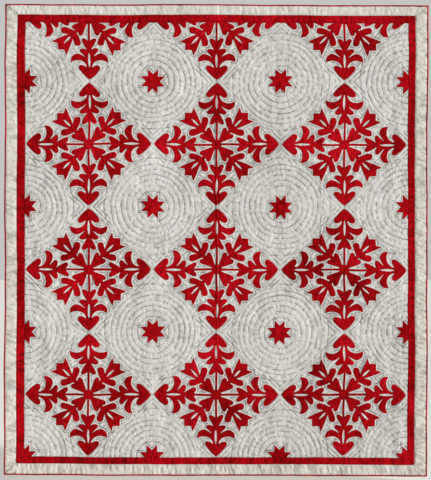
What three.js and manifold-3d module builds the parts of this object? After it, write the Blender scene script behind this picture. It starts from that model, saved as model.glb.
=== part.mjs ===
// A hand-made applique quilt hung flat from a hidden wooden wall rack.
// Millimetres. X runs along the quilt's width, Y runs back towards the wall and Z runs up.
// The origin is the centre of the backboard's back face, which is the face that meets the wall.
import * as THREE from "three";
import { mergeVertices } from "three/addons/utils/BufferGeometryUtils.js";
import Module from "manifold-3d";

const wasm = await Module();
wasm.setup();

// ---------------------------------------------------------------- driving sizes: quilt

const BLOCK_WIDTH = 612; // a block stands on its point, and this is point to point across
const BLOCK_HEIGHT = 600; // point to point upwards
const COLUMNS = 3; // whole flower blocks across
const ROWS = 3; // whole flower blocks up, below the cut top row
const TOP_ROW_CUT = 19; // the top row is cut this far below its own centre line

const BINDING_WIDTH = 6; // how much of the folded edge tape shows on each face
const OUTER_BORDER = { left: 53, right: 54, top: 44, bottom: 49 };
const INNER_BORDER = { left: 39, right: 34, top: 37, bottom: 33 };

const BACKING_THICKNESS = 0.5;
const BATTING_THICKNESS = 3;
const TOP_THICKNESS = 0.75;
const APPLIQUE_THICKNESS = 0.75;
const BINDING_THICKNESS = 0.75;
const SEAM_GAP = 0.3; // between pieced neighbours
const LAYER_GAP = 0.3; // between the sleeve and the quilt

const STAR_POINTS = 8;
const STAR_RADIUS = 65;
const STAR_VALLEY_RADIUS = 36;

// ---------------------------------------------------------------- driving sizes: rack

const TOP_EDGE_ABOVE_ROD = 50; // the quilt's top edge over the rod's centre line
const ROD_DIAMETER = 28;
const ROD_INSET = 40; // the rod's end from the quilt's side edge
const ROD_SIDES = 20;
const TENON_DIAMETER = 16;
const TENON_LENGTH = 26;
const ROD_TO_WALL = 50; // rod centre line to wall
const RUNNING_GAP = 0.3; // between the rod and what it rests in

const SLEEVE_DROP = 84; // lower seam below the rod's centre line
const SLEEVE_THICKNESS = 1;
const SLEEVE_SEAM = 4; // height of the lower seam, where both sides of the sleeve are sewn together
const SLIDE_TRAVEL = 24; // how far the quilt can be pushed along the rod each way
const SLIDE_SPARE = 3;

const BOARD_HEIGHT = 80;
const BOARD_THICKNESS = 18;
const BOARD_INSET = 36; // the board's end from the quilt's side edge
const SCREW_HOLE_DIAMETER = 6;
const SCREW_SPACING = 600;
const SCREW_COUNT = 3;
const SCREW_RISE = 20; // the screw holes' centres over the rod's centre line

const BRACKET_THICKNESS = 18;
const BRACKET_HEIGHT = 60;
const CRADLE_DEPTH = 16; // how far the cradle's walls rise over the rod's centre line
const CRADLE_NOSE = 3; // wood in front of the tenon
const CRADLE_HEEL = 14; // arm below the tenon at the nose
const END_GAP = 1; // between a bracket and the rod's shoulder

// ---------------------------------------------------------------- fineness of the curves

const LOOP_SEGMENTS = 8; // along each round part of the sleeve and of a cradle
const HOLE_SEGMENTS = 6; // round each half of a screw hole
const CUTTER_SPARE = 1; // how far a cutting solid stands out of what it cuts

// ---------------------------------------------------------------- worked out from the above

const fieldWidth = COLUMNS * BLOCK_WIDTH;
const fieldHeight = (ROWS + 0.5) * BLOCK_HEIGHT - TOP_ROW_CUT;
const margin = {
  left: BINDING_WIDTH + OUTER_BORDER.left + INNER_BORDER.left,
  right: BINDING_WIDTH + OUTER_BORDER.right + INNER_BORDER.right,
  top: BINDING_WIDTH + OUTER_BORDER.top + INNER_BORDER.top,
  bottom: BINDING_WIDTH + OUTER_BORDER.bottom + INNER_BORDER.bottom,
};
const quiltWidth = margin.left + fieldWidth + margin.right;
const quiltHeight = margin.bottom + fieldHeight + margin.top;
const quilt = {
  left: -quiltWidth / 2,
  right: quiltWidth / 2,
  top: TOP_EDGE_ABOVE_ROD,
  bottom: TOP_EDGE_ABOVE_ROD - quiltHeight,
};
const field = {
  left: quilt.left + margin.left,
  right: quilt.right - margin.right,
  top: quilt.top - margin.top,
  bottom: quilt.bottom + margin.bottom,
};
const layer = { backing: 0, batting: BACKING_THICKNESS };
layer.top = layer.batting + BATTING_THICKNESS;
layer.applique = layer.top + TOP_THICKNESS;

const rodRadius = ROD_DIAMETER / 2;
const tenonRadius = TENON_DIAMETER / 2;
const sleeveInnerRadius = rodRadius + RUNNING_GAP;
const sleeveOuterRadius = sleeveInnerRadius + SLEEVE_THICKNESS;
const quiltBack = -ROD_TO_WALL - sleeveOuterRadius - LAYER_GAP;
const rodLength = quiltWidth - 2 * ROD_INSET;
const shoulder = rodLength / 2 - TENON_LENGTH; // where the rod turns down to its tenon
const bracketInner = shoulder + END_GAP;
const sleeveLength = 2 * (bracketInner - SLIDE_TRAVEL - SLIDE_SPARE);
const boardLength = quiltWidth - 2 * BOARD_INSET;
const boardFront = -BOARD_THICKNESS;

// ---------------------------------------------------------------- finishes

const finish = (color, roughness) => new THREE.MeshStandardMaterial({ color, roughness, metalness: 0 });
const turkeyRed = finish("#a80f1c", 0.9);
const naturalCotton = finish("#d8d2c6", 0.92);
const borderCotton = finish("#dcd4c4", 0.92);
const mutedBacking = finish("#cfc7b6", 0.93);
const cottonBatting = finish("#efe9dc", 0.97);
const paleWood = finish("#c9a574", 0.55);
const darkWood = finish("#8a6038", 0.6);

// ---------------------------------------------------------------- solids

// A three.js geometry as a manifold-3d solid, with its shared vertices merged.
function solid(geometry) {
  const bare = geometry.index ? geometry.toNonIndexed() : geometry.clone();
  bare.deleteAttribute("normal");
  bare.deleteAttribute("uv");
  const merged = mergeVertices(bare, 1e-4);
  return new wasm.Manifold(
    new wasm.Mesh({
      numProp: 3,
      vertProperties: merged.attributes.position.array,
      triVerts: new Uint32Array(merged.index.array),
    }),
  );
}

// A manifold-3d solid as a three.js geometry with flat faces.
function geometryOf(body) {
  const mesh = body.getMesh();
  const indexed = new THREE.BufferGeometry();
  indexed.setAttribute("position", new THREE.BufferAttribute(new Float32Array(mesh.vertProperties), 3));
  indexed.setIndex(new THREE.BufferAttribute(new Uint32Array(mesh.triVerts), 1));
  const flat = indexed.toNonIndexed();
  flat.computeVertexNormals();
  return flat;
}

function extrude(shape, depth, curveSegments = LOOP_SEGMENTS) {
  return new THREE.ExtrudeGeometry(shape, { depth, bevelEnabled: false, curveSegments });
}

const outline = (points) => new THREE.Shape(points.map(([u, v]) => new THREE.Vector2(u, v)));
const slab = (points, depth) => extrude(outline(points), depth);

// A layer of the quilt is drawn in the plane of its face and turned upright, front to -Y.
const quiltGroup = new THREE.Group();
quiltGroup.rotation.x = Math.PI / 2;
quiltGroup.position.y = quiltBack;

function addPiece(group, name, geometry, material, place = [0, 0, 0]) {
  const mesh = new THREE.Mesh(geometry, material);
  mesh.name = name;
  mesh.position.set(...place);
  group.add(mesh);
  return mesh;
}

// ---------------------------------------------------------------- the flower block's motif

// The motif is drafted on a block of this half diagonal, and scaled to the real block.
const DRAFT_HALF = 306;

// The cut edge on one side of an arm, as [across, along], from the arm's tip in to the valley
// beside the next diagonal: a big heart, a curved leaf, a small leaf, a small heart, the stem.
const armEdge = [
  [0, 297], [24, 277], [50, 246], [48, 232], [32, 229], [14, 242],
  [20, 219], [52, 204], [88, 211], [87, 189], [64, 172], [46, 175], [17, 194],
  [44, 163], [43, 150], [26, 147], [8, 153],
  [31, 115], [32, 101], [18, 99], [5, 112],
  [5, 24],
];

// The cut edge on one side of a diagonal, from that valley out to the flower's middle corner:
// an inner heart, a club-shaped leaf and an open flower.
const diagonalEdge = [
  [8, 22], [28, 64], [33, 80], [22, 89], [8, 80],
  [8, 93], [50, 112], [58, 127], [42, 138], [12, 122],
  [33, 166], [46, 204], [23, 192], [0, 214],
];

// Slits cut through to the ground, as [across, along] kites.
const armSlit = [[0, 168], [5, 204], [0, 241], [-5, 204]];
const flowerSlit = [[0, 123], [4, 146], [0, 172], [-4, 146]];

const ARMS = 4;
const armStep = (2 * Math.PI) / ARMS;

// Turns [across, along] points to an axis at an angle, across being clockwise of it.
function along(angle, points, side = 1) {
  const cos = Math.cos(angle);
  const sin = Math.sin(angle);
  return points.map(([u, v]) => new THREE.Vector2(v * cos + side * u * sin, v * sin - side * u * cos));
}

function motifSlab(depth) {
  const edge = [];
  const slits = [];
  for (let arm = 0; arm < ARMS; arm += 1) {
    const angle = Math.PI / 2 + arm * armStep;
    const diagonal = angle + armStep / 2;
    edge.push(...along(angle, armEdge, -1));
    edge.push(...along(diagonal, diagonalEdge));
    edge.push(...along(diagonal, diagonalEdge.slice(0, -1), -1).reverse());
    edge.push(...along(angle + armStep, armEdge.slice(1)).reverse());
    slits.push(along(angle, armSlit), along(diagonal, flowerSlit));
  }
  const shape = new THREE.Shape(edge);
  shape.holes = slits.map((slit) => new THREE.Path(slit));
  const geometry = extrude(shape, depth);
  return geometry.scale(BLOCK_WIDTH / 2 / DRAFT_HALF, BLOCK_HEIGHT / 2 / DRAFT_HALF, 1);
}

// ---------------------------------------------------------------- quilt top

// A block standing on its point, drawn in by half a seam gap along each edge.
function diamond(depth) {
  const halfWidth = BLOCK_WIDTH / 2;
  const halfHeight = BLOCK_HEIGHT / 2;
  const inradius = (halfWidth * halfHeight) / Math.hypot(halfWidth, halfHeight);
  const shrink = 1 - SEAM_GAP / 2 / inradius;
  const u = halfWidth * shrink;
  const v = halfHeight * shrink;
  return slab([[u, 0], [0, v], [-u, 0], [0, -v]], depth);
}

function star(depth) {
  const points = [];
  for (let i = 0; i < STAR_POINTS; i += 1) {
    const tip = ((i + 0.5) * 2 * Math.PI) / STAR_POINTS;
    const valley = tip + Math.PI / STAR_POINTS;
    points.push([STAR_RADIUS * Math.cos(tip), STAR_RADIUS * Math.sin(tip)]);
    points.push([STAR_VALLEY_RADIUS * Math.cos(valley), STAR_VALLEY_RADIUS * Math.sin(valley)]);
  }
  return slab(points, depth);
}

// The field inset by half a seam gap: what is left of a block where the inner border cuts it.
const fieldCutter = solid(
  slab(
    [
      [field.left + SEAM_GAP / 2, field.bottom + SEAM_GAP / 2],
      [field.right - SEAM_GAP / 2, field.bottom + SEAM_GAP / 2],
      [field.right - SEAM_GAP / 2, field.top - SEAM_GAP / 2],
      [field.left + SEAM_GAP / 2, field.top - SEAM_GAP / 2],
    ],
    layer.applique + APPLIQUE_THICKNESS + CUTTER_SPARE,
  ),
);

// A ground with its red patch sewn on, trimmed by the border, as one solid in the quilt's plane.
function trimmedBlock(patch, x, v) {
  const ground = solid(diamond(TOP_THICKNESS)).translate([x, v, layer.top]);
  const red = patch.translate([x, v, layer.top]);
  return ground.add(red).intersect(fieldCutter);
}

const trimmedPatchDepth = TOP_THICKNESS + APPLIQUE_THICKNESS;
const motifGeometry = motifSlab(APPLIQUE_THICKNESS);
const trimmedMotif = solid(motifSlab(trimmedPatchDepth));
const starGeometry = star(APPLIQUE_THICKNESS);
const trimmedStar = solid(star(trimmedPatchDepth));
const diamondGeometry = diamond(TOP_THICKNESS);

for (let column = 0; column < COLUMNS; column += 1) {
  const x = field.left + (column + 0.5) * BLOCK_WIDTH;
  for (let row = 0; row < ROWS; row += 1) {
    const v = field.bottom + (ROWS - row - 0.5) * BLOCK_HEIGHT;
    const place = `r${row + 1}_c${column + 1}`;
    addPiece(quiltGroup, `flower_ground_${place}`, diamondGeometry, naturalCotton, [x, v, layer.top]);
    addPiece(quiltGroup, `flower_applique_${place}`, motifGeometry, turkeyRed, [x, v, layer.applique]);
  }
  const cutRow = trimmedBlock(trimmedMotif, x, field.bottom + (ROWS + 0.5) * BLOCK_HEIGHT);
  addPiece(quiltGroup, `top_flower_block_c${column + 1}`, geometryOf(cutRow), turkeyRed);
}

for (let line = 0; line <= COLUMNS; line += 1) {
  const x = field.left + line * BLOCK_WIDTH;
  const side = line === 0 ? "left" : "right";
  const onSide = line === 0 || line === COLUMNS;
  for (let row = 0; row < ROWS; row += 1) {
    const v = field.bottom + (ROWS - row) * BLOCK_HEIGHT;
    const block = trimmedBlock(trimmedStar, x, v);
    if (onSide) {
      addPiece(quiltGroup, `side_star_block_${side}_r${row + 1}`, geometryOf(block), naturalCotton);
    } else {
      const place = `r${row + 1}_c${line}`;
      const ground = solid(diamondGeometry).translate([x, v, layer.top]).intersect(fieldCutter);
      addPiece(quiltGroup, `star_ground_${place}`, geometryOf(ground), naturalCotton);
      addPiece(quiltGroup, `star_patch_${place}`, starGeometry, turkeyRed, [x, v, layer.applique]);
    }
  }
  const bottomName = onSide ? `corner_star_block_${side}` : `bottom_star_block_c${line}`;
  const bottomBlock = trimmedBlock(trimmedStar, x, field.bottom);
  addPiece(quiltGroup, bottomName, geometryOf(bottomBlock), naturalCotton);
}

// ---------------------------------------------------------------- borders and binding

const grow = (box, by) => ({
  left: box.left - by.left,
  right: box.right + by.right,
  top: box.top + by.top,
  bottom: box.bottom - by.bottom,
});
const evenly = (by) => ({ left: by, right: by, top: by, bottom: by });

// Four strips between two rectangles, mitred at the corners: a seam gap all round each strip.
function mitredStrips(inner, outer) {
  const from = grow(inner, evenly(SEAM_GAP / 2));
  const to = grow(outer, evenly(-SEAM_GAP / 2));
  const miter = SEAM_GAP * Math.SQRT1_2;
  return {
    top: [[from.left + miter, from.top], [from.right - miter, from.top],
      [to.right - miter, to.top], [to.left + miter, to.top]],
    bottom: [[to.left + miter, to.bottom], [to.right - miter, to.bottom],
      [from.right - miter, from.bottom], [from.left + miter, from.bottom]],
    left: [[to.left, to.bottom + miter], [from.left, from.bottom + miter],
      [from.left, from.top - miter], [to.left, to.top - miter]],
    right: [[from.right, from.bottom + miter], [to.right, to.bottom + miter],
      [to.right, to.top - miter], [from.right, from.top - miter]],
  };
}

const redFrame = grow(field, INNER_BORDER);
const whiteFrame = grow(redFrame, OUTER_BORDER);
for (const [side, points] of Object.entries(mitredStrips(field, redFrame))) {
  addPiece(quiltGroup, `red_border_${side}`, slab(points, TOP_THICKNESS), turkeyRed, [0, 0, layer.top]);
}
for (const [side, points] of Object.entries(mitredStrips(redFrame, whiteFrame))) {
  addPiece(quiltGroup, `white_border_${side}`, slab(points, TOP_THICKNESS), borderCotton, [0, 0, layer.top]);
}

const rectangle = ({ left, right, top, bottom }) => [
  [left, bottom],
  [right, bottom],
  [right, top],
  [left, top],
];

// Backing and batting stop inside the binding, which folds over both and the top.
const filled = rectangle(grow(quilt, evenly(-BINDING_THICKNESS - SEAM_GAP)));
addPiece(quiltGroup, "backing", slab(filled, BACKING_THICKNESS), mutedBacking, [0, 0, layer.backing]);
addPiece(quiltGroup, "batting", slab(filled, BATTING_THICKNESS), cottonBatting, [0, 0, layer.batting]);

// The binding: a frame whose section is a U, open inwards, round the edges of the layers.
const bindingFront = layer.applique + BINDING_THICKNESS;
const bindingBack = layer.backing - BINDING_THICKNESS;
const wrap = solid(slab(rectangle(quilt), bindingFront - bindingBack)).translate([0, 0, bindingBack]);
const lined = rectangle(grow(quilt, evenly(-BINDING_THICKNESS)));
const channel = solid(slab(lined, layer.applique - layer.backing));
const windowDepth = bindingFront - bindingBack + 2 * CUTTER_SPARE;
const window = solid(slab(rectangle(whiteFrame), windowDepth)).translate([0, 0, bindingBack - CUTTER_SPARE]);
addPiece(quiltGroup, "binding", geometryOf(wrap.subtract(channel).subtract(window)), turkeyRed);

// ---------------------------------------------------------------- sleeve, rod and brackets

// Pieces that run along X are drawn with u to +Y and v to +Z, and extruded along +X.
function alongX(geometry) {
  const turned = new THREE.Matrix4().makeBasis(
    new THREE.Vector3(0, 1, 0),
    new THREE.Vector3(0, 0, 1),
    new THREE.Vector3(1, 0, 0),
  );
  return geometry.applyMatrix4(turned);
}

// A loop of cloth round a rod: flat at the front, round over the rod and drawn straight
// down to its lower seam. Both straight sides are tangent to the round.
function loopPath(Kind, radius, drop) {
  const seam = new THREE.Vector2(-radius, -drop);
  const toSeam = seam.angle();
  const backTangent = toSeam + Math.acos(radius / seam.length());
  const path = new Kind();
  path.moveTo(seam.x, seam.y);
  path.lineTo(radius * Math.cos(backTangent), radius * Math.sin(backTangent));
  path.absarc(0, 0, radius, backTangent - 2 * Math.PI, Math.PI, false);
  path.closePath();
  return path;
}

const sleeveShape = loopPath(THREE.Shape, sleeveOuterRadius, SLEEVE_DROP);
sleeveShape.holes.push(loopPath(THREE.Path, sleeveInnerRadius, SLEEVE_DROP - SLEEVE_SEAM));
const sleeveGeometry = alongX(extrude(sleeveShape, sleeveLength));

const root = new THREE.Group();
root.add(quiltGroup);
addPiece(root, "hanging_sleeve", sleeveGeometry, mutedBacking, [-sleeveLength / 2, -ROD_TO_WALL, 0]);

const rodHalf = [
  [0, -rodLength / 2],
  [tenonRadius, -rodLength / 2],
  [tenonRadius, -shoulder],
  [rodRadius, -shoulder],
  [rodRadius, shoulder],
  [tenonRadius, shoulder],
  [tenonRadius, rodLength / 2],
  [0, rodLength / 2],
];
const rodGeometry = new THREE.LatheGeometry(rodHalf.map(([r, h]) => new THREE.Vector2(r, h)), ROD_SIDES);
rodGeometry.rotateZ(-Math.PI / 2);
addPiece(root, "rod", geometryOf(solid(rodGeometry)), paleWood, [0, -ROD_TO_WALL, 0]);

// A bracket arm reaches from the board to just in front of the tenon, with an open-topped
// slot for it: straight walls above a half-round seat.
const seatRadius = tenonRadius + RUNNING_GAP;
const nose = -ROD_TO_WALL - seatRadius - CRADLE_NOSE;
const armShape = new THREE.Shape();
armShape.moveTo(boardFront, -BRACKET_HEIGHT / 2);
armShape.lineTo(boardFront, BRACKET_HEIGHT / 2);
armShape.lineTo(boardFront - CRADLE_DEPTH, BRACKET_HEIGHT / 2);
armShape.lineTo(-ROD_TO_WALL + seatRadius, CRADLE_DEPTH);
armShape.lineTo(-ROD_TO_WALL + seatRadius, 0);
armShape.absarc(-ROD_TO_WALL, 0, seatRadius, 0, Math.PI, true);
armShape.lineTo(-ROD_TO_WALL - seatRadius, CRADLE_DEPTH);
armShape.lineTo(nose, CRADLE_DEPTH);
armShape.lineTo(nose, -seatRadius);
armShape.lineTo(-ROD_TO_WALL + seatRadius, -seatRadius - CRADLE_HEEL);
armShape.closePath();
for (const [side, sign] of [["left", -1], ["right", 1]]) {
  const inner = sign * bracketInner;
  const start = sign > 0 ? inner : inner - BRACKET_THICKNESS;
  addPiece(root, `bracket_${side}`, alongX(extrude(armShape, BRACKET_THICKNESS)), darkWood, [start, 0, 0]);
}

const boardFace = {
  left: -boardLength / 2,
  right: boardLength / 2,
  top: BOARD_HEIGHT / 2,
  bottom: -BOARD_HEIGHT / 2,
};
const boardShape = outline(rectangle(boardFace));
for (let i = 0; i < SCREW_COUNT; i += 1) {
  const hole = new THREE.Path();
  const across = (i - (SCREW_COUNT - 1) / 2) * SCREW_SPACING;
  hole.absarc(across, SCREW_RISE, SCREW_HOLE_DIAMETER / 2, 0, 2 * Math.PI);
  boardShape.holes.push(hole);
}
const boardGeometry = extrude(boardShape, BOARD_THICKNESS, HOLE_SEGMENTS);
boardGeometry.rotateX(Math.PI / 2);
addPiece(root, "backboard", boardGeometry, darkWood);

export default root;
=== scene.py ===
"""A red and white applique quilt hung flat from a hidden wooden wall rack, for Blender 4.5.

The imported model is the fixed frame. Every cloth is worked out here in millimetres in the
quilt's own plane (x across, z up), lifted by one shared relief, and stored in metres.
"""

import logging
import math
from collections.abc import Callable
from dataclasses import dataclass
from enum import Enum
from typing import ClassVar

import bmesh
import bpy
import numpy as np
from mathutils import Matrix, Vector


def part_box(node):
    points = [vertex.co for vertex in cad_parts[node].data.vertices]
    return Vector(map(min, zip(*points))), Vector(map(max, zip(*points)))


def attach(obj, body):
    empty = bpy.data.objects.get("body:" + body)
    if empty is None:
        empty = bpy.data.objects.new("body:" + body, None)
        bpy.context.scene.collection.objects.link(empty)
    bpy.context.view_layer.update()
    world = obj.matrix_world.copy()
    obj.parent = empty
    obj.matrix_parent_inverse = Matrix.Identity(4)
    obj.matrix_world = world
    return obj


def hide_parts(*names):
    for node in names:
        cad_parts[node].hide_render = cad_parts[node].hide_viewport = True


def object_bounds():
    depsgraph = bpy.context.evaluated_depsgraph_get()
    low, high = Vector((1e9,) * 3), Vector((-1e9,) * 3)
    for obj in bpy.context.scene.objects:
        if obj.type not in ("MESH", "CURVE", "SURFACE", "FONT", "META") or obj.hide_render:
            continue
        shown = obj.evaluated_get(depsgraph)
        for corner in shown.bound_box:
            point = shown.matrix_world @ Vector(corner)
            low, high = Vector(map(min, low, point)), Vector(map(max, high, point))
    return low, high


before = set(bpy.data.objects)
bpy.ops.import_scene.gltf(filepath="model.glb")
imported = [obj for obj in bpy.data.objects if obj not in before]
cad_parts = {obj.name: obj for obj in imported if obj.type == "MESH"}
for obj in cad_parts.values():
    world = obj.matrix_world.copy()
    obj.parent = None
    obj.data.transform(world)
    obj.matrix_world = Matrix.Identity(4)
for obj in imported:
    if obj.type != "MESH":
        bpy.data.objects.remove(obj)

LOG = logging.getLogger("quilt")
CAD_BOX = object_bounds()
MM = 0.001
PAINTED_SHADE_ATTRIBUTE = "painted_shade"  # the attribute for painted shade: how deep in a stitched valley a point lies, which darkens its colour there

Array = np.ndarray
Socket = bpy.types.NodeSocket
Inside = Callable[[Array, Array], Array]
Pair = tuple[Array, Array]


# ---------------------------------------------------------------- finishes


def linear(hex_colour: str) -> tuple[float, float, float, float]:
    """Turn an sRGB hex colour into linear red, green, blue and alpha.

    Args:
        hex_colour: six hex digits after a hash.

    Returns:
        The four linear channels.
    """
    channels = [int(hex_colour[i : i + 2], 16) / 255 for i in (1, 3, 5)]
    flat = [c / 12.92 if c <= 0.04045 else ((c + 0.055) / 1.055) ** 2.4 for c in channels]
    return (*flat, 1.0)


def add_node(
    tree: bpy.types.NodeTree, kind: str, inputs: dict | None = None, **settings: object
) -> bpy.types.Node:
    """Add a node, set it up and link what feeds it.

    Args:
        tree: the material's or world's node tree.
        kind: the node's type name.
        inputs: socket name or index to a value, or to the socket that feeds it.
        settings: attributes of the node itself.

    Returns:
        The new node.
    """
    made = tree.nodes.new(kind)
    for key, value in settings.items():
        setattr(made, key, value)
    for key, value in (inputs or {}).items():
        if isinstance(value, bpy.types.NodeSocket):
            tree.links.new(value, made.inputs[key])
        else:
            made.inputs[key].default_value = value
    return made


def shades(tree: bpy.types.NodeTree, factor: Socket, stops: list[tuple[float, str]]) -> Socket:
    """Run a factor through a colour ramp.

    Args:
        tree: the node tree.
        factor: the socket that drives the ramp.
        stops: position and hex colour of each stop, in rising order.

    Returns:
        The ramp's colour socket.
    """
    ramp = add_node(tree, "ShaderNodeValToRGB", {"Fac": factor})
    elements = ramp.color_ramp.elements
    for index, (position, colour) in enumerate(stops):
        element = elements[index] if index < 2 else elements.new(position)
        element.position = position
        element.color = linear(colour)
    return ramp.outputs["Color"]


def mottling(tree: bpy.types.NodeTree, place: Socket, size_mm: float, **more: float) -> Socket:
    """Noise whose blotches have a real size.

    Args:
        tree: the node tree.
        place: the socket that says where a point lies.
        size_mm: the blotches' size in millimetres.
        more: other inputs of the noise, by name.

    Returns:
        The noise's factor socket.
    """
    inputs = {"Vector": place, "Scale": 1 / (size_mm * MM), **more}
    return add_node(tree, "ShaderNodeTexNoise", inputs).outputs["Fac"]


def bump(tree: bpy.types.NodeTree, depth_mm: float, inputs: dict) -> Socket:
    """Tilt the shading by a height, whose full range has a real depth.

    Args:
        tree: the node tree.
        depth_mm: the depth in millimetres.
        inputs: the other inputs of the bump, by name.

    Returns:
        The tilted normal's socket.
    """
    return add_node(tree, "ShaderNodeBump", {"Distance": depth_mm * MM, **inputs}).outputs["Normal"]


def new_material(name: str) -> tuple[bpy.types.Material, Socket]:
    """Make an empty node material, and a socket for where a point lies on its object."""
    made = bpy.data.materials.new(name)
    made.use_nodes = True
    made.node_tree.nodes.clear()
    return made, add_node(made.node_tree, "ShaderNodeTexCoord").outputs["Object"]


def finish_surface(tree: bpy.types.NodeTree, inputs: dict) -> None:
    """Add the principled shader with its inputs, and the output."""
    shader = add_node(tree, "ShaderNodeBsdfPrincipled", inputs)
    add_node(tree, "ShaderNodeOutputMaterial", {"Surface": shader.outputs["BSDF"]})


@dataclass(frozen=True)
class Cotton:
    """Plain-weave dyed or bleached cotton, washed soft: matt, faintly fuzzy, uneven in colour."""

    FINE_SHARE: ClassVar[float] = 0.72  # how much of the unevenness is the fine mottling
    DYE_RANGE: ClassVar[tuple[float, float]] = (0.39, 0.61)  # noise below and above is all dark or bright
    STAIN_MM: ClassVar[float] = 190.0
    # Threads lie 0.5 mm apart in such cloth. The weave is drawn coarser, so that it can show.
    WEAVE_MM: ClassVar[float] = 1.6
    WEAVE_DEPTH_MM: ClassVar[float] = 0.3
    BANDS_TO_SIZE: ClassVar[float] = 0.314  # the wave texture's scale for bands one unit apart
    LINT_MM: ClassVar[float] = 5.0

    name: str
    slot: str
    dark: str
    middle: str
    bright: str
    mottle_mm: float = 9.0
    mottle_detail: float = 6.0
    fuzz: float = 0.25
    bump_mm: float = 0.5
    # How strongly the painted shade attribute darkens the colour.
    shade_darkening: float = 0.5
    gloss: float = 0.08

    def material(self) -> bpy.types.Material:
        """Make the material: two sizes of mottling in the dye, a bump of weave and lint, and sheen."""
        made, place = new_material(self.name)
        tree = made.node_tree
        mottle = mottling(tree, place, self.mottle_mm, Detail=self.mottle_detail, Roughness=0.62)
        stains = mottling(tree, place, self.STAIN_MM, Detail=3.0)
        fine_part = add_node(tree, "ShaderNodeMath", {0: mottle, 1: self.FINE_SHARE}, operation="MULTIPLY")
        blend = {0: stains, 1: 1 - self.FINE_SHARE, 2: fine_part.outputs[0]}
        factor = add_node(tree, "ShaderNodeMath", blend, operation="MULTIPLY_ADD").outputs[0]
        low, high = self.DYE_RANGE
        stops = [(low, self.dark), ((low + high) / 2, self.middle), (high, self.bright)]
        dyed = shades(tree, factor, stops)
        # Painted shade: the dye colour is darkened by the mesh's painted shade attribute, in valleys, seams,
        # creases and wrinkle troughs.
        painted_shade = add_node(tree, "ShaderNodeAttribute", attribute_name=PAINTED_SHADE_ATTRIBUTE).outputs["Fac"]
        shade_inputs = {0: painted_shade, 1: -self.shade_darkening, 2: 1.0}
        clean = add_node(tree, "ShaderNodeMath", shade_inputs, operation="MULTIPLY_ADD").outputs[0]
        tinted = {0: dyed, "Scale": clean}
        colour = add_node(tree, "ShaderNodeVectorMath", tinted, operation="SCALE").outputs["Vector"]
        bands = {"Vector": place, "Scale": self.BANDS_TO_SIZE / (self.WEAVE_MM * MM)}
        bands |= {"Distortion": 2.0, "Detail": 1.0}
        warp, weft = (
            add_node(tree, "ShaderNodeTexWave", bands, wave_type="BANDS", bands_direction=axis).outputs["Fac"]
            for axis in ("X", "Z")
        )
        weave = add_node(tree, "ShaderNodeMath", {0: warp, 1: weft}, operation="MULTIPLY").outputs[0]
        lint = mottling(tree, place, self.LINT_MM, Detail=4.0, Roughness=0.7)
        fine = bump(tree, self.WEAVE_DEPTH_MM, {"Height": weave, "Strength": 0.25})
        rough = bump(tree, self.bump_mm, {"Height": lint, "Normal": fine, "Strength": 0.8})
        surface = {"Base Color": colour, "Normal": rough, "Roughness": 0.92}
        surface |= {"Specular IOR Level": self.gloss, "Sheen Weight": self.fuzz, "Sheen Roughness": 0.6}
        finish_surface(tree, surface)
        return made


@dataclass(frozen=True)
class Timber:
    """Planed and oiled wood: long grain along X, darker pores, a soft satin light."""

    GRAIN_STRETCH: ClassVar[float] = 0.06  # how much slower the grain changes along X than across
    GRAIN_RANGE: ClassVar[tuple[float, float]] = (0.34, 0.66)
    PORE_MM: ClassVar[float] = 1.2
    PORE_DEPTH_MM: ClassVar[float] = 0.15

    name: str
    slot: str
    dark: str
    bright: str
    roughness: float = 0.45
    ring_mm: float = 9.0

    def material(self) -> bpy.types.Material:
        """Make the material: grain bands stretched along X, fine pores, and a satin surface."""
        made, place = new_material(self.name)
        tree = made.node_tree
        stretch = {"Vector": place, "Scale": (self.GRAIN_STRETCH, 1.0, 1.0)}
        drawn = add_node(tree, "ShaderNodeMapping", stretch).outputs["Vector"]
        grain = mottling(tree, drawn, self.ring_mm, Detail=5.0, Distortion=0.4)
        pores = mottling(tree, drawn, self.PORE_MM, Detail=2.0, Roughness=0.7)
        low, high = self.GRAIN_RANGE
        colour = shades(tree, grain, [(low, self.dark), (high, self.bright)])
        dented = bump(tree, self.PORE_DEPTH_MM, {"Height": pores, "Strength": 0.5})
        surface = {"Base Color": colour, "Normal": dented}
        surface |= {"Roughness": self.roughness, "Specular IOR Level": 0.25}
        finish_surface(tree, surface)
        return made


# Deep blue-tinged red with pale worn threads: it makes the cut flowers glow against the ground.
TURKEY_RED = Cotton(
    "turkey_red_cotton",
    "turkey_red_cotton",
    "#6a0002",
    "#ae0007",
    "#e01026",
    mottle_mm=5.0,
    fuzz=0.0,
    bump_mm=2.7,
)
# The same dye on a flatter strip: calmer and a touch darker, so that it frames the field.
BORDER_RED = Cotton(
    "turkey_red_border_cotton",
    "turkey_red_cotton",
    "#760004",
    "#b00008",
    "#da0e22",
    mottle_mm=6.0,
    fuzz=0.0,
    bump_mm=2.2,
)
# A tight smooth tape, even in colour: it draws one thin dark line round the quilt.
BINDING_RED = Cotton(
    "red_cotton_tape", "red_binding", "#7e000a", "#a2030f", "#c4142a", mottle_mm=60.0, fuzz=0.0
)
# Cool off-white, well crinkled, with painted shade greying its stitched valleys, which makes the quilting
# read.
GROUND = Cotton(
    "bleached_ground_cotton",
    "natural_cotton",
    "#dfdcd6",
    "#e6e4df",
    "#ecebe7",
    mottle_mm=26.0,
    fuzz=0.1,
    bump_mm=3.1,
    shade_darkening=0.68,
)
# Creamier than the ground, so that the border reads as another cloth.
BORDER_WHITE = Cotton(
    "bleached_border_cotton",
    "border_cotton",
    "#dfd9cd",
    "#e9e4da",
    "#f0ede5",
    mottle_mm=30.0,
    fuzz=0.1,
    bump_mm=2.8,
)
# Unbleached and dull: the warm plain back of the quilt.
BACKING = Cotton(
    "unbleached_backing_cotton", "backing_cotton", "#d3c9b3", "#d9cfba", "#dfd6c3", mottle_mm=40.0, fuzz=0.1
)
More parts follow.
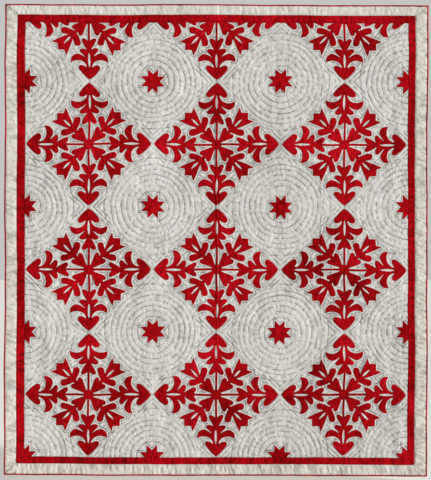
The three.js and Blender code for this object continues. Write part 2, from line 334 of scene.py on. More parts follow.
# Soft cream fluff, which hardly shows past the cloths.
BATTING = Cotton("carded_cotton_batting", "cotton_batting", "#e2dccb", "#eee9da", "#f6f2e6", bump_mm=1.5)
# Pale smooth dowel, the one light spot behind the quilt.
BEECH = Timber("satin_beech_dowel", "pale_wood", "#b98d58", "#d9b27c")
# Dark planed boards that recede behind the cloth.
WALNUT = Timber("oiled_walnut_board", "dark_wood", "#3d2413", "#6e4627", roughness=0.62)

DRESSED: dict[str, bpy.types.Material] = {}


def dress(piece: bpy.types.Object, finish: Cotton | Timber) -> bpy.types.Object:
    """Give a piece its finish."""
    if finish.name not in DRESSED:
        DRESSED[finish.name] = finish.material()
    piece.data.materials.clear()
    piece.data.materials.append(DRESSED[finish.name])
    return piece


# ---------------------------------------------------------------- meshes


def mesh_piece(
    name: str, points_mm: Array, triangles: Array, finish: Cotton | Timber, painted_shade: Array | None = None
) -> bpy.types.Object:
    """Put points and triangles into a new smooth-shaded object at the origin.

    Args:
        name: the piece's name.
        points_mm: N rows of x, y and z in millimetres.
        triangles: M rows of three point numbers.
        finish: what it is made of.
        painted_shade: painted shade at each point, from 0, none, to 1, darkest at the bottom of a stitched
            valley.

    Returns:
        The linked object.
    """
    mesh = bpy.data.meshes.new(name)
    mesh.vertices.add(len(points_mm))
    mesh.vertices.foreach_set("co", (points_mm * MM).astype(np.float32).ravel())
    mesh.loops.add(3 * len(triangles))
    mesh.loops.foreach_set("vertex_index", triangles.astype(np.int32).ravel())
    mesh.polygons.add(len(triangles))
    mesh.polygons.foreach_set("loop_start", np.arange(0, 3 * len(triangles), 3, dtype=np.int32))
    mesh.polygons.foreach_set("use_smooth", np.ones(len(triangles), dtype=bool))
    mesh.update(calc_edges=True)
    # Painted shade is stored as a point attribute that the cotton material darkens its colour by.
    if painted_shade is not None:
        layer = mesh.attributes.new(PAINTED_SHADE_ATTRIBUTE, "FLOAT", "POINT")
        layer.data.foreach_set("value", np.clip(painted_shade, 0, 1).astype(np.float32))
    piece = bpy.data.objects.new(name, mesh)
    bpy.context.scene.collection.objects.link(piece)
    LOG.info("%s: %d faces", name, len(triangles))
    return dress(piece, finish)


MARGIN = 0.5  # how far a lattice reaches past the region that is cut from it
LEAST_CUT = 0.12  # no cut comes nearer to a lattice point than this share of the spacing


def lattice_patch(inside: Inside, box: "Rect", step: float) -> tuple[Array, Array, Array]:
    """Cover a flat region with a triangle lattice that is cut along the region's edge.

    Each square cell gives two triangles, with the diagonals alternating. A triangle with corners
    on both sides of the edge is cut where the signed distance falls to nought along its sides.

    Args:
        inside: signed distance at x, z, above nought inside the region.
        box: the rectangle that the lattice covers.
        step: the lattice's spacing.

    Returns:
        The x and z of each point, and the triangles.
    """
    across = np.linspace(box.left, box.right, max(2, math.ceil(box.width / step) + 1))
    up = np.linspace(box.bottom, box.top, max(2, math.ceil(box.height / step) + 1))
    grid_x, grid_z = (g.ravel() for g in np.meshgrid(across, up))
    depth = inside(grid_x, grid_z)
    least = LEAST_CUT * step
    depth = np.where(np.abs(depth) < least, np.where(depth > 0, least, -least), depth)
    index = np.arange(grid_x.size).reshape(up.size, across.size)
    a, b, c, d = (i.ravel() for i in (index[:-1, :-1], index[:-1, 1:], index[1:, 1:], index[1:, :-1]))
    odd = ((a // across.size + a % across.size) % 2).astype(bool)
    first = np.where(odd[:, None], np.stack([a, b, d], 1), np.stack([a, b, c], 1))
    second = np.where(odd[:, None], np.stack([b, c, d], 1), np.stack([a, c, d], 1))
    triangles = np.concatenate([first, second])
    held = depth[triangles] > 0
    count = held.sum(1)

    def turned(rows: Array, lead: Array) -> Array:
        """Turn each triangle so that its corner numbered in lead comes first."""
        order = (lead[:, None] + np.arange(3)) % 3
        return np.take_along_axis(rows, order, 1)

    whole = triangles[count == 3]
    one = turned(triangles[count == 1], held[count == 1].argmax(1))
    two = turned(triangles[count == 2], (~held[count == 2]).argmax(1))
    edges = np.concatenate([one[:, [0, 1]], one[:, [0, 2]], two[:, [0, 1]], two[:, [0, 2]]])
    low, high = edges.min(1), edges.max(1)
    keys, where = np.unique(low.astype(np.int64) * grid_x.size + high, return_inverse=True)
    low, high = keys // grid_x.size, keys % grid_x.size
    share = depth[low] / (depth[low] - depth[high])
    cut_x = grid_x[low] + share * (grid_x[high] - grid_x[low])
    cut_z = grid_z[low] + share * (grid_z[high] - grid_z[low])
    cut = where.reshape(-1) + grid_x.size
    p1, p2, q1, q2 = np.split(cut, np.cumsum([len(one), len(one), len(two)]))
    triangles = np.concatenate(
        [
            whole,
            np.stack([one[:, 0], p1, p2], 1),
            np.stack([q1, two[:, 1], two[:, 2]], 1),
            np.stack([q1, two[:, 2], q2], 1),
        ]
    )
    used, triangles = np.unique(triangles, return_inverse=True)
    all_x = np.concatenate([grid_x, cut_x])[used]
    all_z = np.concatenate([grid_z, cut_z])[used]
    return all_x, all_z, triangles.reshape(-1, 3)


def grid_triangles(rows: int, columns: int, wrap: bool = False) -> Array:
    """Triangles of a rows by columns grid of points, numbered row by row.

    Args:
        rows: points in the first direction.
        columns: points in the second direction.
        wrap: whether the last row joins the first.

    Returns:
        Rows of three point numbers.
    """
    index = np.arange(rows * columns).reshape(rows, columns)
    if wrap:
        index = np.vstack([index, index[:1]])
    a, b, c, d = (i.ravel() for i in (index[:-1, :-1], index[:-1, 1:], index[1:, 1:], index[1:, :-1]))
    return np.concatenate([np.stack([a, b, c], 1), np.stack([a, c, d], 1)])


def convex(corners: list[tuple[float, float]]) -> Inside:
    """Signed distance to a convex outline whose corners run anticlockwise.

    Args:
        corners: x and z of each corner.

    Returns:
        A function of x and z: the least distance to any side's line, above nought inside.
    """
    ring = np.array(corners, float)
    sides = np.roll(ring, -1, 0) - ring
    lengths = np.hypot(sides[:, 0], sides[:, 1])

    def distance(x: Array, z: Array) -> Array:
        """Least distance to a side at each point."""
        least = np.full(x.shape, np.inf)
        for (px, pz), (sx, sz), length in zip(ring, sides, lengths):
            least = np.minimum(least, ((z - pz) * sx - (x - px) * sz) / length)
        return least

    return distance


# ---------------------------------------------------------------- where everything lies


@dataclass(frozen=True)
class Rect:
    """An upright rectangle in the quilt's plane, in millimetres."""

    left: float
    bottom: float
    right: float
    top: float

    def grown(self, by: float) -> "Rect":
        """The rectangle moved out by one distance on every side."""
        return Rect(self.left - by, self.bottom - by, self.right + by, self.top + by)

    def shared(self, other: "Rect") -> "Rect":
        """The part that lies in both rectangles."""
        left, bottom = max(self.left, other.left), max(self.bottom, other.bottom)
        return Rect(left, bottom, min(self.right, other.right), min(self.top, other.top))

    def corners(self) -> list[tuple[float, float]]:
        """Its corners, anticlockwise from the lower left."""
        return [
            (self.left, self.bottom),
            (self.right, self.bottom),
            (self.right, self.top),
            (self.left, self.top),
        ]

    @property
    def width(self) -> float:
        """How far it reaches across."""
        return self.right - self.left

    @property
    def height(self) -> float:
        """How far it reaches up."""
        return self.top - self.bottom

    @property
    def middle(self) -> float:
        """Halfway up."""
        return (self.top + self.bottom) / 2


def node_box(name: str) -> tuple[Array, Array]:
    """A CAD node's lowest and highest corners in millimetres."""
    low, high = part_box(name)
    return np.array(low) / MM, np.array(high) / MM


@dataclass(frozen=True)
class QuiltPlan:
    """The quilt's layout, read from the frame, in millimetres."""

    block_width: float
    block_height: float
    field: Rect
    red: Rect
    white: Rect
    edge: Rect
    front: float
    back: float
    seam_gap: float = 0.3

    @classmethod
    def from_frame(cls) -> "QuiltPlan":
        """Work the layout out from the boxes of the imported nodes."""
        here, east, south, last = (
            sum(node_box(f"flower_ground_{place}")) / 2 for place in ("r1_c1", "r1_c2", "r2_c1", "r3_c3")
        )
        width, height = east[0] - here[0], here[2] - south[2]
        half_gap = cls.seam_gap / 2
        red, white = (cls.round_strips(colour).grown(half_gap) for colour in ("red", "white"))
        top = node_box("red_border_top")[0][2] - half_gap
        field = Rect(here[0] - width / 2, last[2] - height / 2, last[0] + width / 2, top)
        low, high = node_box("binding")
        edge = Rect(low[0], low[2], high[0], high[2])
        front = node_box("white_border_top")[0][1]
        back = node_box("backing")[1][1]
        return cls(width, height, field, red, white, edge, front, back)

    @staticmethod
    def round_strips(colour: str) -> Rect:
        """The rectangle round one colour's four border strips."""
        left, bottom = node_box(f"{colour}_border_left")[0][0], node_box(f"{colour}_border_bottom")[0][2]
        right, top = node_box(f"{colour}_border_right")[1][0], node_box(f"{colour}_border_top")[1][2]
        return Rect(left, bottom, right, top)

    @property
    def inradius(self) -> float:
        """Distance from a block's centre to its sides."""
        a, b = self.block_width / 2, self.block_height / 2
        return a * b / math.hypot(a, b)


def blend(table: Array, rows: Pair, columns: Pair, at: Pair) -> Array:
    """Ease between four neighbouring numbers of a table.

    Args:
        table: rows and columns of numbers.
        rows: the row below and the row above each point.
        columns: the column left and the column right of each point.
        at: each point's place between its columns and between its rows, from 0 to 1.

    Returns:
        The blended number at each point.
    """
    fu, fv = (f * f * (3 - 2 * f) for f in at)
    low, high = (table[row, columns[0]] * (1 - fu) + table[row, columns[1]] * fu for row in rows)
    return low * (1 - fv) + high * fv


class Noise:
    """Smooth random waves: eased blends between numbers on a wrapped square table."""

    SIZE = 256

    def __init__(self, seed: int) -> None:
        """Fill the table from a seed."""
        self.table = np.random.default_rng(seed).uniform(-1, 1, (self.SIZE, self.SIZE))

    def __call__(
        self, x: Array, z: Array, wave_x: float, wave_z: float | None = None, turn: float = 0.5
    ) -> Array:
        """Sample the waves.

        Args:
            x: place across.
            z: place up.
            wave_x: spacing of the table's numbers across.
            wave_z: spacing up, the same as across if left out.
            turn: angle of the table to x in radians, so that its rows don't show.

        Returns:
            Values from about -1 to 1.
        """
        u = (x * math.cos(turn) - z * math.sin(turn)) / wave_x
        v = (x * math.sin(turn) + z * math.cos(turn)) / (wave_z or wave_x)
        column, row = np.floor(u).astype(int), np.floor(v).astype(int)
        columns = (column % self.SIZE, (column + 1) % self.SIZE)
        rows = (row % self.SIZE, (row + 1) % self.SIZE)
        return blend(self.table, rows, columns, (u - column, v - row))


@dataclass(frozen=True)
class Wave:
    """One size of wrinkle: the noise it is drawn from, its height, its spacing and its turn."""

    noise: int
    height: float
    across: float
    up: float | None = None
    turn: float = 0.5


# ---------------------------------------------------------------- the cut red shapes


class Motif:
    """The flower block's red applique: four arms and four diagonals cut from one folded square.

    Its edge is drafted for one eighth, from an arm's tip to the flower's middle corner, on a block
    of a given half diagonal. Every point is folded into that eighth before it is measured.
    """

    DRAFT_HALF = 306.0
    CURVE_STEPS = 6
    PLUMP = 1.6  # turning the edge under rounds the shape out past its drafted line

    # [across, along] for a straight stretch; [control across, control along, across, along] for a curve.
    ARM_EDGE = [
        [0, 298], [27, 281, 48, 251], [57, 236, 44, 230], [30, 226, 14, 243],
        [13, 232], [24, 205, 54, 203], [72, 202, 88, 212], [94, 182, 63, 171],
        [42, 171, 13, 197], [20, 184, 43, 163], [51, 150, 36, 147], [22, 146, 6, 157],
        [24, 133, 33, 110], [37, 97, 25, 97], [13, 100, 4.3, 113],
        [4.3, 24],
    ]
    DIAGONAL_EDGE = [
        [8, 22], [19, 46, 27, 62], [38, 84, 26, 88], [17, 91, 8, 79],
        [8, 92], [38, 101, 53, 112], [65, 125, 54, 133], [44, 143, 35, 136], [24, 128, 11, 121],
        [18, 132, 24, 146], [37, 174, 46, 205], [23, 192], [0, 214],
    ]
    ARM_SLIT = [[0, 164], [6, 180, 6.6, 204], [6, 232, 0, 246]]
    FLOWER_SLIT = [[0, 119], [6, 132, 6, 146], [5, 164, 0, 177]]

    def __init__(self, plan: QuiltPlan) -> None:
        """Trace the edges and turn the diagonal's stretch into the arm's axes."""
        self.scale_x = plan.block_width / 2 / self.DRAFT_HALF
        self.scale_z = plan.block_height / 2 / self.DRAFT_HALF
        arm = self.trace(self.ARM_EDGE)
        diagonal = self.turned(self.trace(self.DIAGONAL_EDGE))
        self.slits = [self.trace(self.ARM_SLIT), self.turned(self.trace(self.FLOWER_SLIT))]
        cut_edges = [np.concatenate([arm, diagonal]), *self.slits]
        self.outline = np.concatenate([cut_edges[0], [[0.0, 0.0]]])
        self.starts = np.concatenate([line[:-1] for line in cut_edges])
        self.ends = np.concatenate([line[1:] for line in cut_edges])

    @classmethod
    def trace(cls, draft: list[list[float]]) -> Array:
        """Follow a draft of straight stretches and quadratic curves."""
        points = [np.array([draft[0]], float)]
        for step in draft[1:]:
            start, end = points[-1][-1], np.array(step[-2:], float)
            if len(step) == 2:
                points.append(end[None])
                continue
            control = np.array(step[:2], float)
            t = np.linspace(0, 1, cls.CURVE_STEPS + 1)[1:, None]
            points.append((1 - t) ** 2 * start + 2 * t * (1 - t) * control + t**2 * end)
        return np.concatenate(points)

    @staticmethod
    def turned(points: Array) -> Array:
        """Turn points about a diagonal's axis, whose side faces the arm, into the arm's axes."""
        across, along = points[:, 0], points[:, 1]
        root = math.sqrt(0.5)
        return np.stack([(along - across) * root, (along + across) * root], 1)

    @staticmethod
    def within(ring: Array, u: Array, v: Array) -> Array:
        """Whether each point lies in a closed ring: an odd number of sides crossed on the way out."""
        inside = np.zeros(u.shape, bool)
        for (au, av), (bu, bv) in zip(ring, np.roll(ring, -1, 0)):
            if av == bv:
                continue
            spans = (av > v) != (bv > v)
            inside ^= spans & (u < au + (v - av) * (bu - au) / (bv - av))
        return inside

    def distance(self, dx: Array, dz: Array) -> Array:
        """Signed distance to the cut edge, above nought in the red cloth.

        Args:
            dx: place across from the block's centre.
            dz: place up from the block's centre.

        Returns:
            The distance in millimetres.
        """
        a, b = np.abs(dx / self.scale_x), np.abs(dz / self.scale_z)
        u, v = np.minimum(a, b), np.maximum(a, b)
        least = np.full(u.shape, np.inf)
        for (su, sv), (eu, ev) in zip(self.starts, self.ends):
            du, dv = eu - su, ev - sv
            share = np.clip(((u - su) * du + (v - sv) * dv) / (du * du + dv * dv), 0, 1)
            least = np.minimum(least, (u - su - share * du) ** 2 + (v - sv - share * dv) ** 2)
        red = self.within(self.outline, u, v)
        for slit in self.slits:
            red &= ~self.within(slit, u, v)
        return np.where(red, 1, -1) * np.sqrt(least) + self.PLUMP


class Star:
    """An eight-pointed red patch: straight sides between tips and valleys."""

    POINTS = 8
    VALLEY_SHARE = 0.55  # a valley's distance from the centre as a share of a tip's

    def __init__(self) -> None:
        """Read the tip radius from the frame; the valleys lie at a fixed share of it."""
        low, high = node_box("star_patch_r1_c1")
        tip_turn = math.pi / self.POINTS
        self.tip = (high[0] - low[0]) / 2 / math.cos(tip_turn)
        self.valley = self.tip * self.VALLEY_SHARE

    def distance(self, dx: Array, dz: Array) -> Array:
        """Signed distance to the nearest side, above nought in the red cloth."""
        radius, angle = np.hypot(dx, dz), np.arctan2(dz, dx)
        half = math.pi / self.POINTS
        folded = np.abs((angle % (2 * half)) - half)
        u, v = radius * np.cos(folded), radius * np.sin(folded)
        bu, bv = self.valley * math.cos(half), self.valley * math.sin(half)
        du, dv = bu - self.tip, bv
        return (dv * (self.tip - u) + du * v) / math.hypot(du, dv)


# ---------------------------------------------------------------- the shared relief


class Relief:
    """Heights of the quilted surface over the plane of the top cloth, in millimetres.

    The height is a puff between quilting lines, drawn in at every line and seam, plus puckers
    that run across the lines and soft crinkles everywhere.
    """

    TURN = 0.0028  # how far the whole quilt leans, in radians
    # Radii of the stitched rings round a star, and distances of the straight lines from a seam.
    RINGS = (74.0, 102.0, 128.0, 153.0, 178.0, 201.0, 233.0)
    LAST_WHOLE_RING = 214.0
    STAR_ECHO = 6.0  # a line of stitches follows each cut red shape at this distance
    MOTIF_ECHO = 7.0
    MOTIF_MARGIN = 11.0  # no straight line comes nearer to the motif than this
    UNSTITCHED = 9.0  # distance to a line that stands for none near
    PUCKERS_TURN_AT = 62.0  # puckers run round the star from this radius, and wholly so 20 mm on
    PUCKER_BLEND = 20.0
    STITCH_WIDTH = 2.1
    PUFF_WIDTH = 6.0
    GROOVE_WIDTH = 2.2
    DEEPEST = 1.5
    SEAM_SHARE = 0.6  # how much of the wrinkling a sewn seam holds down
    SEAM_DEPTH = 0.5
    CORNER_LINES = (14.0, 30.0)
    GROUND_LINES = (11.0, 25.0, 39.0, 53.0)
    # Where each old fold line runs, across the quilt, and how strongly it shows.
    CREASES = ((-611.0, 0.35), (4.0, 1.0), (505.0, 0.5), (556.0, 0.35))
    CREASE_REACH = 560.0  # creases fade over this far from halfway up
    LEAST_CREASE = 0.25
    RIDGE, RIDGE_WIDTH = 3.2, 3.4
    FURROW, FURROW_WIDTH, FURROW_OFF = 2.2, 3.5, 7.5  # on each side of the ridge
    WANDER_ACROSS = (Wave(0, 3.2, 330), Wave(1, 1.3, 95))
    WANDER_UP = (Wave(2, 2.6, 300), Wave(3, 1.2, 90))
    CUT_ACROSS, CUT_UP = (Wave(6, 2.4, 85),), (Wave(7, 2.4, 85),)
    RING_WANDER = (Wave(0, 2.0, 60), Wave(3, 1.3, 17))
    CRINKLES = (Wave(3, 0.85, 7, 11, 0.4), Wave(4, 0.6, 19, 29, 1.1), Wave(5, 0.7, 80, 110, 0.2))
    # How hard a stitch draws the cloth in, on average and as it varies along a line.
    DRAWN = 0.66
    DRAWN_WAVES = (Wave(0, 0.85, 12), Wave(5, 0.35, 120))
    RED_RIBS = (Wave(1, 1.1, 5.0, 30, 0.0), Wave(2, 0.7, 17, 60, 0.0))
    WHITE_RIBS = (Wave(3, 1.2, 11, 60, 0.2), Wave(4, 1.2, 7.5, 38, -0.3))
    # The white border is slackest at the sides and tightest at the top.
    SIDE_SLACK, BOTTOM_SLACK, TOP_SLACK = 1.7, 1.3, 0.8

    def __init__(self, plan: QuiltPlan, motif: Motif, drape: "Drape") -> None:
        """Seed the noises."""
        self.plan = plan
        self.motif = motif
        self.drape = drape
        self.star = Star()
        self.noise = [Noise(seed) for seed in range(11, 19)]

    def waves(self, x: Array, z: Array, parts: tuple[Wave, ...]) -> Array:
        """Add up several sizes of wrinkle."""
        return sum(w.height * self.noise[w.noise](x, z, w.across, w.up, w.turn) for w in parts)

    # -- shape of the whole cloth

    def warp(self, x: Array, z: Array) -> tuple[Array, Array]:
        """Shift points in the plane: a slight turn of the whole quilt and a hand-made waviness."""
        dx = self.TURN * (z - self.plan.edge.middle) + self.waves(x, z, self.WANDER_ACROSS)
        dz = -self.TURN * x + self.waves(x, z, self.WANDER_UP)
        return x + dx, z + dz

    # -- quilting

    def block(self, x: Array, z: Array) -> tuple[Array, Array, Array, Array, Array]:
        """Find each point's block.

        Returns:
            Whether it is a flower block, the offsets across and up from the block's centre, the
            distance to the block's seam, and a number that differs from star block to star block.
        """
        plan = self.plan
        u = (x - plan.field.left) / plan.block_width
        v = (z - plan.field.bottom) / plan.block_height
        fu, fv = u - np.floor(u) - 0.5, v - np.floor(v) - 0.5
        su, sv = u - np.round(u), v - np.round(v)
        edge = 0.5 - (np.abs(fu) + np.abs(fv))
        flower = edge >= 0
        dx = np.where(flower, fu, su) * plan.block_width
        dz = np.where(flower, fv, sv) * plan.block_height
        return flower, dx, dz, np.abs(edge) * 2 * plan.inradius, 57.3 * np.round(u) + 131.7 * np.round(v)

    def loosened(self, x: Array, z: Array, dx: Array, dz: Array) -> tuple[Array, Array]:
        """Centre offsets with the small waviness of hand cutting."""
        return dx + self.waves(x, z, self.CUT_ACROSS), dz + self.waves(x, z, self.CUT_UP)

    def field_lines(self, x: Array, z: Array) -> tuple[Array, Array, Array]:
        """Distance to the nearest quilting line, and the pucker that crosses it.

        Returns:
            The distance, the pucker and the distance to the nearest seam.
        """
        n = self.noise
        flower, dx, dz, seam, which = self.block(x, z)
        dx, dz = self.loosened(x, z, dx, dz)
        radius, angle = np.hypot(dx, dz), np.arctan2(dz, dx)
        radius = radius + self.waves(x, z, self.RING_WANDER)
        ring = np.min([np.abs(radius - r) for r in self.RINGS], axis=0)
        corner = np.min([np.abs(seam - s) for s in self.CORNER_LINES], axis=0)
        star_line = np.where(radius > self.LAST_WHOLE_RING, np.minimum(ring, corner), ring)
        beside = -self.star.distance(dx, dz)
        echo = np.minimum(star_line, np.abs(beside - self.STAR_ECHO))
        star_line = np.where(beside > 0, echo, self.UNSTITCHED)
        around = -self.motif.distance(dx, dz)
        ground = np.min([np.abs(seam - s) for s in self.GROUND_LINES], axis=0)
        echo = np.abs(around - self.MOTIF_ECHO)
        flower_line = np.where(around > self.MOTIF_MARGIN, np.minimum(echo, ground), echo)
        flower_line = np.where(around < 0, self.UNSTITCHED, flower_line)
        line = np.where(flower, flower_line, star_line)
        plain = n[1](x, z, 8, 17, 0.8)
        round_star = n[2](np.abs(angle) * 130 + which, radius, 6.5, 19, 0.0)
        far = np.where(flower, 0, np.clip((radius - self.PUCKERS_TURN_AT) / self.PUCKER_BLEND, 0, 1))
        pucker = plain * (1 - far) + round_star * far
        return line, pucker, seam

    def crinkle(self, x: Array, z: Array) -> Array:
        """Soft irregular crinkles of washed cloth, in three sizes."""
        return self.waves(x, z, self.CRINKLES)

    def creases(self, x: Array, z: Array) -> Array:
        """Old fold lines that run up the quilt: a sharp ridge between two grooves, plainest halfway up."""
        total = np.zeros(x.shape)
        fade = np.exp(-(((z - self.plan.edge.middle) / self.CREASE_REACH) ** 2))
        plain = self.LEAST_CREASE + (1 - self.LEAST_CREASE) * fade
        for number, (place, size) in enumerate(self.CREASES):
            off = x - place - 3 * self.noise[6](z, z * 0, 300)
            strength = plain * size * (0.8 + 0.35 * self.noise[7](z + 700 * number, z * 0, 260))
            ridge = np.exp(-((off / self.RIDGE_WIDTH) ** 2))
            furrows = np.exp(-(((np.abs(off) - self.FURROW_OFF) / self.FURROW_WIDTH) ** 2))
            total += strength * (self.RIDGE * ridge - self.FURROW * furrows)
        return total

    def field(self, x: Array, z: Array) -> tuple[Array, Array]:
        """Height and painted shade of the pieced field.

        The height drops into a narrow valley at each stitched line, rises in a puff between
        lines, and wrinkles across them. Seams are shallow valleys.
        """
        line, pucker, seam = self.field_lines(x, z)
        drawn = np.clip(self.DRAWN + self.waves(x, z, self.DRAWN_WAVES), 0.05, 1.6)
        valley = np.exp(-((line / self.STITCH_WIDTH) ** 2)) * drawn
        puff = 1 - np.exp(-((line / self.PUFF_WIDTH) ** 2))
        near = np.exp(-line / 10)
        edge = np.minimum(seam, self.border_distance(x, z))
        groove = np.exp(-((edge / self.GROOVE_WIDTH) ** 2))
        height = 1.1 * puff - 1.3 * valley + (0.55 + 0.9 * near) * pucker
        height = height * (1 - self.SEAM_SHARE * groove) - self.SEAM_DEPTH * groove
        wrinkles, folds = self.crinkle(x, z), self.creases(x, z)
        # Painted shade: darker in stitched valleys, seams, fold grooves and the troughs of puckers and
        # wrinkles.
        painted_shade = 1.1 * valley + 0.3 * groove + 0.3 * np.clip(-folds, 0, 2)
        painted_shade = painted_shade + 0.4 * np.clip(-pucker - 0.2, 0, 1) + 0.3 * np.clip(-wrinkles - 0.4, 0, 1)
        return self.settled(height + wrinkles + folds), painted_shade

    def settled(self, height: Array) -> Array:
        """Bend heights so that no valley reaches the batting."""
        return np.where(height < 0, self.DEEPEST * np.tanh(height / self.DEEPEST), height)

    def border_distance(self, x: Array, z: Array) -> Array:
        """Distance to the nearest edge of the field."""
        f = self.plan.field
        beside = np.minimum(np.abs(x - f.left), np.abs(x - f.right))
        return np.minimum(beside, np.minimum(np.abs(z - f.bottom), np.abs(z - f.top)))

    def border(self, x: Array, z: Array, inner: Rect, outer: Rect, red: bool) -> tuple[Array, Array]:
        """Height and painted shade of a border strip: a long puff with wrinkles across it.

        Args:
            x: place across.
            z: place up.
            inner: the rectangle inside the strips.
            outer: the rectangle outside them.
            red: whether it is the narrow red border, whose ribs are finer.

        Returns:
            The height and the painted shade at each point.
        """
        beside = np.maximum(
            (inner.left - x) / (inner.left - outer.left), (x - inner.right) / (outer.right - inner.right)
        )
        beyond = np.maximum(
            (inner.bottom - z) / (inner.bottom - outer.bottom), (z - inner.top) / (outer.top - inner.top)
        )
        sideways = beside > beyond
        width = inner.left - outer.left
        share = np.clip(np.maximum(beside, beyond), 0, 1)
        from_inner, to_outer = share * width, (1 - share) * width
        to_mitre = np.abs(beside - beyond) * width * math.sqrt(0.5)
        mitre = np.where(np.minimum(beside, beyond) > -0.2, to_mitre, np.inf)
        along = np.where(sideways, z, x)
        across = np.where(sideways, x, z)
        if red:
            rib = self.waves(along, across, self.RED_RIBS)
        else:
            slack = np.where(z < inner.bottom, self.BOTTOM_SLACK, self.TOP_SLACK)
            slack = np.where(sideways, self.SIDE_SLACK, slack)
            rib = slack * self.waves(along, across, self.WHITE_RIBS)
        held = (1 - np.exp(-((from_inner / 4) ** 2))) * (1 - np.exp(-((to_outer / 4) ** 2)))
        groove = np.exp(-((mitre / 2.4) ** 2))
        middle = np.abs(from_inner - to_outer) / 2
        puff = 1.2 - np.exp(-((middle / 4) ** 2)) if red else 1.3
        wrinkles = self.crinkle(x, z)
        # The red strip's seam allowances are pressed under it, so its edges stand over its neighbours.
        rim = 0.4 if red else -0.4
        height = held * (puff + rib) + rim * (1 - held) + wrinkles
        height = height * (1 - self.SEAM_SHARE * groove) - self.SEAM_DEPTH * groove
        # Painted shade: darker at the seams and mitres, and in the troughs of ribs and wrinkles.
        rib_shade = 1.2 if red else 0.45
        painted_shade = 0.35 * (1 - held) + rib_shade * np.clip(-rib - 0.2, 0, 1) + 0.2 * np.clip(-wrinkles - 0.4, 0, 1)
        return self.settled(height + self.creases(x, z)), painted_shade + 0.5 * groove


@dataclass
class Drape:
    """How the quilt's own weight hangs it from the sleeve, found by Blender's Cloth on a coarse sheet.

    The sheet starts a little wavy and a little slack, is held along the sleeve, and settles under
    gravity. Every layer of the quilt then takes the same swing, so that the layers keep their depths.
    """

    edge: Rect
    held_from: float
    spacing: float = 42.0
    frames: int = 26
    broad_waves: float = 5.0  # how far the sheet's starting waves stand out
    narrow_waves: float = 2.0
    most: float = 5.5
    free_after: float = 380.0  # how far below the sleeve the cloth swings freely

    def __post_init__(self) -> None:
        e = self.edge
        self.across = np.linspace(e.left, e.right, round(e.width / self.spacing))
        self.up = np.linspace(e.bottom, e.top, round(e.height / self.spacing))
        x, z = (g.ravel() for g in np.meshgrid(self.across, self.up))
        waves = Noise(31)
        free = np.clip((self.held_from - z) / self.free_after, 0, 1)
        broad, narrow = waves(x, z, 430, 800, 0.1), waves(x + 900, z, 190, 420, -0.2)
        start = free * (self.broad_waves * broad + self.narrow_waves * narrow)
        swing = self.settle(x, z, start)
        swing = free**0.5 * self.most * np.tanh(swing / self.most)
        self.swing = swing.reshape(self.up.size, self.across.size)

    def settle(self, x: Array, z: Array, start: Array) -> Array:
        """Run the Cloth simulation on the sheet.

        Args:
            x: place across of each point.
            z: place up of each point.
            start: starting depth of each point.

        Returns:
            The settled depth of each point in millimetres.
        """
        mesh = bpy.data.meshes.new("hang_sheet")
        faces = grid_triangles(self.up.size, self.across.size)
        mesh.from_pydata((np.stack([x, start, z], 1) * MM).tolist(), [], faces.tolist())
        sheet = bpy.data.objects.new("hang_sheet", mesh)
        bpy.context.scene.collection.objects.link(sheet)
        held = sheet.vertex_groups.new(name="sleeve")
        held.add(np.flatnonzero(z > self.held_from).tolist(), 1.0, "REPLACE")
        cloth = sheet.modifiers.new("hang", "CLOTH")
        set_up = cloth.settings
        set_up.quality = 8
        set_up.mass = 0.0016
        set_up.tension_stiffness = set_up.compression_stiffness = 60
        set_up.shear_stiffness = 20
        set_up.bending_stiffness = 4
        set_up.air_damping = 6
        set_up.shrink_min = -0.004
        set_up.vertex_group_mass = "sleeve"
        cloth.collision_settings.use_collision = False
        cloth.point_cache.frame_end = self.frames
        for number in range(1, self.frames + 1):
            bpy.context.scene.frame_set(number)
        settled = sheet.evaluated_get(bpy.context.evaluated_depsgraph_get())
        points = np.empty(3 * x.size, dtype=np.float32)
        settled.data.vertices.foreach_get("co", points)
        bpy.context.scene.frame_set(1)
        bpy.data.objects.remove(sheet)
        bpy.data.meshes.remove(mesh)
        depth = points.reshape(-1, 3)[:, 1] / MM
        LOG.info("hang: swings from %.1f to %.1f mm", depth.min(), depth.max())
        return depth.astype(float)

    def __call__(self, x: Array, z: Array) -> Array:
        """Swing at any place: a blend of the four sheet points round it."""
        e = self.edge
        u = np.clip((x - e.left) / e.width, 0, 1) * (self.across.size - 1)
        v = np.clip((z - e.bottom) / e.height, 0, 1) * (self.up.size - 1)
        column = np.minimum(u.astype(int), self.across.size - 2)
        row = np.minimum(v.astype(int), self.up.size - 2)
        return blend(self.swing, (row, row + 1), (column, column + 1), (u - column, v - row))


class Side(Enum):
    """The four sides of a border."""

    TOP = "top"
    BOTTOM = "bottom"
    LEFT = "left"
    RIGHT = "right"


# ---------------------------------------------------------------- the quilt


